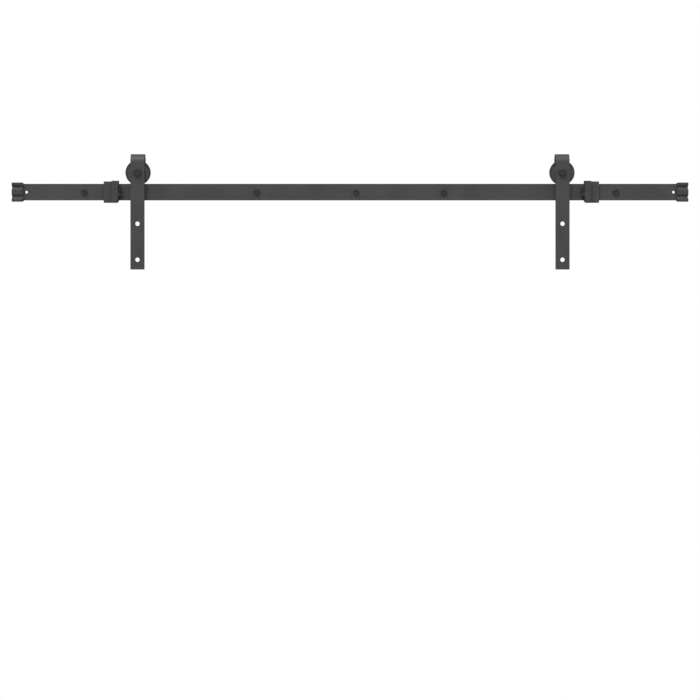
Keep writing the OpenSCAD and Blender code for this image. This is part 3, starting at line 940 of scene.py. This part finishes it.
def end_cap(side):
    """A moulded cap with a sloping lip, and two grip grooves that run round its end."""
    node = f"{side}_end_cap"
    low, high = extent(node)
    outward = -1 if side == "left" else 1
    mouth, end = (high.x, low.x) if side == "left" else (low.x, high.x)
    rail_low, rail_high = extent(f"{side}_rail")
    rail_end = rail_low.x if side == "left" else rail_high.x
    rail_half = (rail_high.y - rail_low.y) / 2, (rail_high.z - rail_low.z) / 2
    full = (high.y - low.y) / 2, (high.z - low.z) / 2
    lip_wall, lip = (2.8, 0.4), 3.4  # wall along Y and Z at the mouth, and length of the slope
    groove_z, groove_half, groove_depth, notch = 8.5, 4.6, 2.4, 0.8
    corner, nose, mid_y = 1.3, 1.3, (low.y + high.y) / 2
    length = abs(end - mouth)

    def groove(z):
        """Depth of the grip grooves at a height, from 0 to 1."""
        off = min(abs(abs(z) - groove_z) / groove_half, 1.0)
        return (0.5 + 0.5 * math.cos(math.pi * off)) ** 0.8

    def outline(half_y, half_z):
        """Points round a rounded rectangle, close together where the grooves cross it."""
        base = rectangle((-half_y, half_y), (-half_z, half_z), corner)
        dense = []
        for (y0, z0), (y1, z1) in zip(base, base[1:] + base[:1]):
            tall, wide = abs(z1 - z0) > 10, abs(y1 - y0) > 2
            count = 48 if tall else 8 if wide else 1
            dense += [(y0 + (y1 - y0) * k / count, z0 + (z1 - z0) * k / count) for k in range(count)]
        return dense

    def section(depth, shrink=0.0):
        """Outline at a distance from the mouth, pressed in by the grooves. Where a groove runs over
        the rounded nose, the end is notched."""
        rise = min(1.0, depth / lip)
        half = [wall + side_half + (whole - wall - side_half) * rise - shrink
                for wall, side_half, whole in zip(lip_wall, rail_half, full)]
        into_nose = max(0.0, depth - length + nose)
        ring = []
        for y, z in outline(*half):
            limit = full[0] - shrink - groove_depth * groove(z)
            reach = min(depth, length - notch * groove(z) - nose + into_nose)
            ring.append((mouth + outward * reach, mid_y + max(-limit, min(limit, y)), z))
        return ring

    def cavity(depth, grow):
        """Outline of the hollow that holds the rail, with a point for each one of the outside."""
        return [(mouth + outward * depth,
                 mid_y + max(-1, min(1, y / (full[0] - 1))) * (rail_half[0] + grow),
                 max(-1, min(1, z / (full[1] - 1))) * (rail_half[1] + grow)) for y, z in outline(*full)]

    blunt, snug = 0.15, 0.02  # bevel at the mouth, and room round the rail
    depths = (blunt, 0.8, 1.6, 2.4, 3.0, lip, lip + 0.4, 8, 13, length - nose)
    rings = [section(0.0, blunt)] + [section(depth) for depth in depths]
    rings += [section(length - short, shrink) for short, shrink in round_over(nose, 5)[1:]]
    shell = rings[::-1] + [cavity(0.0, 0.3), cavity(0.3, snug), cavity(abs(rail_end - mouth), snug)]
    points, faces = skin(shell, caps=(False, True))
    piece = make(f"{node}_rubber", points, faces + across(shell[0]), ((mouth + end) / 2, mid_y, 0))
    stand_for(piece, node, sharp=50)


# ---------------------------------------------------------------- the whole track

for track_side in SIDES:
    rail_half(track_side)
    axle = middle(f"{track_side}_wheel")
    hanger_strap(track_side, axle)
    axle_bolt(track_side, axle)
    lock_nut(track_side, axle)
    axle_spacers(track_side, axle)
    wheel(track_side, axle)
    bearing(track_side, axle)
    stop_collar(track_side)
    stop_bumper(track_side)
    stop_pad(track_side)
    end_cap(track_side)
for spacer in SPACERS:
    wall_spacer(spacer)
wall_screws()


# ---------------------------------------------------------------- studio

CAMERA_DISTANCE = 4.2  # from the rail's front face
CAMERA_HEIGHT = -0.047
FRAME_WIDTH = 1.2677  # width of the view at the rail's front face
HORIZON_SHIFT = -0.1885  # share of the view's width
BACKDROP_RADIUS = 14
FLOOR_RADIUS = 6
FLOOR_HEIGHT = -4.5  # low enough for the track to be seen from underneath too
SKY_TOWARDS = (0.0, -0.55, 0.45)  # the bright side of the surround
SKY_DARKEST, SKY_BRIGHTEST = 0.02, 0.78


def camera():
    """A level camera in front of the rail. Its shift puts the track in the upper part of the view."""
    data = bpy.data.cameras.new("camera")
    data.sensor_width = 36
    data.lens = data.sensor_width * CAMERA_DISTANCE / FRAME_WIDTH
    data.shift_y = HORIZON_SHIFT
    view = bpy.data.objects.new("camera", data)
    view.location = (0, extent("left_rail")[0].y * MM - CAMERA_DISTANCE, CAMERA_HEIGHT)
    view.rotation_euler = (math.pi / 2, 0, 0)
    bpy.context.scene.collection.objects.link(view)
    bpy.context.scene.camera = view


def far_light(name, towards, spread_degrees, strength, glossy=True):
    """Soft light that falls evenly on the whole length of the rail. towards points at the light."""
    data = bpy.data.lights.new(name, "SUN")
    data.angle = math.radians(spread_degrees)
    data.energy = strength
    lamp = bpy.data.objects.new(name, data)
    lamp.rotation_euler = (-Vector(towards)).to_track_quat("-Z", "Y").to_euler()
    lamp.visible_glossy = glossy
    bpy.context.scene.collection.objects.link(lamp)


def sky():
    """A soft surround: bright in front and above, dark behind the track and below."""
    world = bpy.data.worlds.new("studio")
    bpy.context.scene.world = world
    world.use_nodes = True
    tree = world.node_tree
    place = tree.nodes.new("ShaderNodeTexCoord")
    slope = tree.nodes.new("ShaderNodeVectorMath")
    slope.operation = "DOT_PRODUCT"
    slope.inputs[1].default_value = SKY_TOWARDS
    tree.links.new(place.outputs["Generated"], slope.inputs[0])
    ramp = tree.nodes.new("ShaderNodeMapRange")
    settings = (
        ("From Min", -0.30), ("From Max", 0.55), ("To Min", SKY_DARKEST), ("To Max", SKY_BRIGHTEST),
    )
    for key, number in settings:
        ramp.inputs[key].default_value = number
    tree.links.new(slope.outputs["Value"], ramp.inputs["Value"])
    background = tree.nodes["Background"]
    background.inputs["Color"].default_value = (1, 1, 1, 1)
    tree.links.new(ramp.outputs["Result"], background.inputs["Strength"])


def white_surface(name):
    """Evenly white, and no brighter than white where an edge of the track crosses it."""
    material = bpy.data.materials.new(name)
    material.use_nodes = True
    shader = material.node_tree.nodes["Principled BSDF"]
    shader.inputs["Base Color"].default_value = (0, 0, 0, 1)
    shader.inputs["Specular IOR Level"].default_value = 0
    shader.inputs["Emission Color"].default_value = (1, 1, 1, 1)
    shader.inputs["Emission Strength"].default_value = 1.0
    return material


def surround():
    """A pale floor and a far backdrop that only the camera sees."""
    work = bmesh.new()
    bmesh.ops.create_uvsphere(work, u_segments=48, v_segments=24, radius=BACKDROP_RADIUS)
    dome_mesh = bpy.data.meshes.new("backdrop")
    work.to_mesh(dome_mesh)
    work.free()
    work = bmesh.new()
    bmesh.ops.create_circle(work, cap_ends=True, segments=96, radius=FLOOR_RADIUS)
    floor_mesh = bpy.data.meshes.new("floor")
    work.to_mesh(floor_mesh)
    work.free()
    for mesh, height in ((dome_mesh, 0), (floor_mesh, FLOOR_HEIGHT)):
        mesh.materials.append(white_surface(mesh.name))
        stage = bpy.data.objects.new(mesh.name, mesh)
        stage.location.z = height
        stage.visible_diffuse = False
        stage.visible_glossy = False
        stage.visible_transmission = False
        stage.visible_shadow = False
        bpy.context.scene.collection.objects.link(stage)


camera()
sky()
surround()
far_light("key", towards=(-0.6, -1.0, 1.65), spread_degrees=32, strength=1.9)
far_light("right_fill", towards=(1.0, -0.5, 0.5), spread_degrees=60, strength=0.54, glossy=False)
far_light("rear_fill", towards=(0.5, 1.0, 0.6), spread_degrees=60, strength=1.5, glossy=False)
far_light("back_fill", towards=(-0.4, 1.0, 0.0), spread_degrees=60, strength=2.2, glossy=False)
bpy.context.scene.view_settings.view_transform = "Standard"
